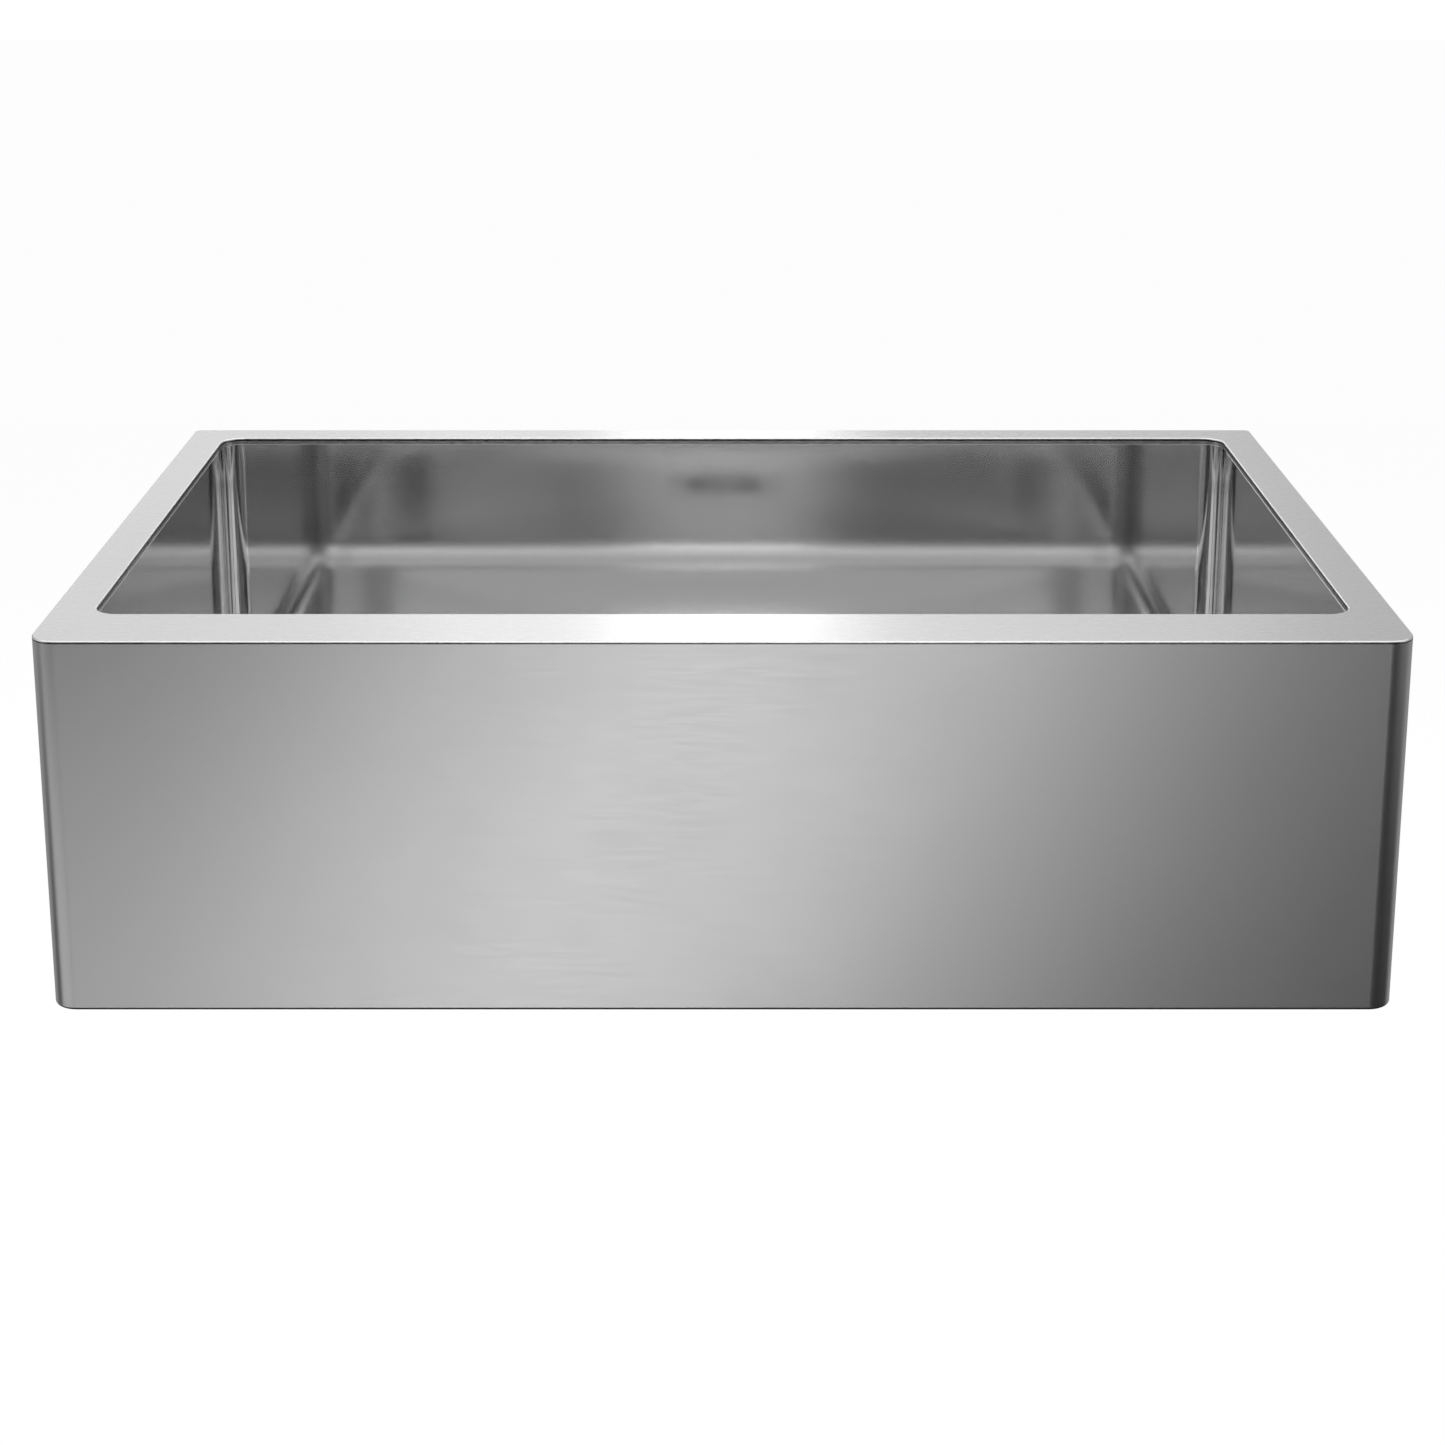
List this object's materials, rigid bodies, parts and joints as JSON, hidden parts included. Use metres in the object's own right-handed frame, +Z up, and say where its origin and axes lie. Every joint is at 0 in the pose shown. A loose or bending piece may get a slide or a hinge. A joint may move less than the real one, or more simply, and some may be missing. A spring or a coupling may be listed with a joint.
{
  "type": "farmhouse apron front sink",
  "caption": "Single-bowl kitchen sink in brushed stainless steel with a deep apron front, flat rim, basket strainer and swing-out rim clips.",
  "frame": {"origin": "middle of the back rim's underside, on the plane of the worktop surface that carries the rim", "axes": "+X to the user's right, +Y from the apron towards the wall, +Z up"},
  "size_m": [0.8382, 0.5588, 0.3538],
  "materials": {
    "rim_steel": "satin brushed stainless steel, grain along the rim",
    "apron_steel": "satin brushed stainless steel, grain running side to side",
    "bowl_steel": "soft satin stainless steel that mirrors blurrily",
    "bracket_steel": "plain mill-finish stainless steel",
    "pad_rubber": "matt pressed rubber",
    "strainer_steel": "polished stainless steel",
    "putty": "set sealing putty",
    "seal_rubber": "smooth black rubber",
    "fibre": "pressed fibre board",
    "locknut_metal": "die-cast, dull",
    "tailpiece_chrome": "chrome plated",
    "washer_plastic": "plain white plastic",
    "clip_zinc": "zinc plated"
  },
  "bodies": {
    "sink": {"rim_deck": "rim_steel", "apron_panel": "apron_steel", "bowl": "bowl_steel", "apron_brace_left": "bracket_steel", "apron_brace_right": "bracket_steel", "rail_left": "bracket_steel", "rail_right": "bracket_steel", "rail_back_left": "bracket_steel", "rail_back_right": "bracket_steel", "sound_pad_left": "pad_rubber", "sound_pad_right": "pad_rubber", "sound_pad_front": "pad_rubber", "sound_pad_back": "pad_rubber", "sound_pad_bottom": "pad_rubber", "strainer_body": "strainer_steel", "putty_ring": "putty", "rubber_gasket": "seal_rubber", "fibre_washer": "fibre", "locknut": "locknut_metal", "tailpiece": "tailpiece_chrome", "slip_nut": "tailpiece_chrome", "tailpiece_washer": "washer_plastic"},
    "basket_post": {"basket_post": "strainer_steel", "post_clip": "strainer_steel", "stopper_seal": "seal_rubber"},
    "basket_cup": {"basket_cup": "strainer_steel"},
    "clip_bolt_left_front": {"clip_bolt_left_front": "clip_zinc"},
    "clip_dog_left_front": {"clip_dog_left_front": "clip_zinc"},
    "wing_nut_left_front": {"wing_nut_left_front": "clip_zinc"},
    "clip_bolt_left_rear": {"clip_bolt_left_rear": "clip_zinc"},
    "clip_dog_left_rear": {"clip_dog_left_rear": "clip_zinc"},
    "wing_nut_left_rear": {"wing_nut_left_rear": "clip_zinc"},
    "clip_bolt_right_front": {"clip_bolt_right_front": "clip_zinc"},
    "clip_dog_right_front": {"clip_dog_right_front": "clip_zinc"},
    "wing_nut_right_front": {"wing_nut_right_front": "clip_zinc"},
    "clip_bolt_right_rear": {"clip_bolt_right_rear": "clip_zinc"},
    "clip_dog_right_rear": {"clip_dog_right_rear": "clip_zinc"},
    "wing_nut_right_rear": {"wing_nut_right_rear": "clip_zinc"},
    "clip_bolt_back_left": {"clip_bolt_back_left": "clip_zinc"},
    "clip_dog_back_left": {"clip_dog_back_left": "clip_zinc"},
    "wing_nut_back_left": {"wing_nut_back_left": "clip_zinc"},
    "clip_bolt_back_right": {"clip_bolt_back_right": "clip_zinc"},
    "clip_dog_back_right": {"clip_dog_back_right": "clip_zinc"},
    "wing_nut_back_right": {"wing_nut_back_right": "clip_zinc"}
  },
  "joints": [
    {"name": "basket_lift", "type": "slide", "parent": "sink", "child": "basket_post", "axis": [0, 0, 1], "range_m": [0, 0.3]},
    {"name": "basket_turn", "type": "hinge", "parent": "basket_post", "child": "basket_cup", "pos_m": [0, -0.19375, -0.2701], "axis": [0, 0, 1], "continuous": true},
    {"name": "clip_slide_left_front", "type": "slide", "parent": "sink", "child": "clip_bolt_left_front", "axis": [0, 1, 0], "range_m": [-0.065, 0.065]},
    {"name": "dog_swing_left_front", "type": "hinge", "parent": "clip_bolt_left_front", "child": "clip_dog_left_front", "pos_m": [-0.4051, -0.37005, -0.042], "axis": [0, 0, -1], "range_deg": [0, 180]},
    {"name": "wing_nut_turn_left_front", "type": "hinge", "parent": "clip_bolt_left_front", "child": "wing_nut_left_front", "pos_m": [-0.4051, -0.37005, -0.0453], "axis": [0, 0, 1], "continuous": true},
    {"name": "clip_slide_left_rear", "type": "slide", "parent": "sink", "child": "clip_bolt_left_rear", "axis": [0, 1, 0], "range_m": [-0.065, 0.065]},
    {"name": "dog_swing_left_rear", "type": "hinge", "parent": "clip_bolt_left_rear", "child": "clip_dog_left_rear", "pos_m": [-0.4051, -0.13175, -0.042], "axis": [0, 0, -1], "range_deg": [0, 180]},
    {"name": "wing_nut_turn_left_rear", "type": "hinge", "parent": "clip_bolt_left_rear", "child": "wing_nut_left_rear", "pos_m": [-0.4051, -0.13175, -0.0453], "axis": [0, 0, 1], "continuous": true},
    {"name": "clip_slide_right_front", "type": "slide", "parent": "sink", "child": "clip_bolt_right_front", "axis": [0, 1, 0], "range_m": [-0.065, 0.065]},
    {"name": "dog_swing_right_front", "type": "hinge", "parent": "clip_bolt_right_front", "child": "clip_dog_right_front", "pos_m": [0.4051, -0.37005, -0.042], "axis": [0, 0, -1], "range_deg": [0, 180]},
    {"name": "wing_nut_turn_right_front", "type": "hinge", "parent": "clip_bolt_right_front", "child": "wing_nut_right_front", "pos_m": [0.4051, -0.37005, -0.0453], "axis": [0, 0, 1], "continuous": true},
    {"name": "clip_slide_right_rear", "type": "slide", "parent": "sink", "child": "clip_bolt_right_rear", "axis": [0, 1, 0], "range_m": [-0.065, 0.065]},
    {"name": "dog_swing_right_rear", "type": "hinge", "parent": "clip_bolt_right_rear", "child": "clip_dog_right_rear", "pos_m": [0.4051, -0.13175, -0.042], "axis": [0, 0, -1], "range_deg": [0, 180]},
    {"name": "wing_nut_turn_right_rear", "type": "hinge", "parent": "clip_bolt_right_rear", "child": "wing_nut_right_rear", "pos_m": [0.4051, -0.13175, -0.0453], "axis": [0, 0, 1], "continuous": true},
    {"name": "clip_slide_back_left", "type": "slide", "parent": "sink", "child": "clip_bolt_back_left", "axis": [1, 0, 0], "range_m": [-0.09, 0.09]},
    {"name": "dog_swing_back_left", "type": "hinge", "parent": "clip_bolt_back_left", "child": "clip_dog_back_left", "pos_m": [-0.2211, -0.00055, -0.042], "axis": [0, 0, -1], "range_deg": [0, 180]},
    {"name": "wing_nut_turn_back_left", "type": "hinge", "parent": "clip_bolt_back_left", "child": "wing_nut_back_left", "pos_m": [-0.2211, -0.00055, -0.0453], "axis": [0, 0, 1], "continuous": true},
    {"name": "clip_slide_back_right", "type": "slide", "parent": "sink", "child": "clip_bolt_back_right", "axis": [1, 0, 0], "range_m": [-0.09, 0.09]},
    {"name": "dog_swing_back_right", "type": "hinge", "parent": "clip_bolt_back_right", "child": "clip_dog_back_right", "pos_m": [0.2211, -0.00055, -0.042], "axis": [0, 0, -1], "range_deg": [0, 180]},
    {"name": "wing_nut_turn_back_right", "type": "hinge", "parent": "clip_bolt_back_right", "child": "wing_nut_back_right", "pos_m": [0.2211, -0.00055, -0.0453], "axis": [0, 0, 1], "continuous": true}
  ]
}
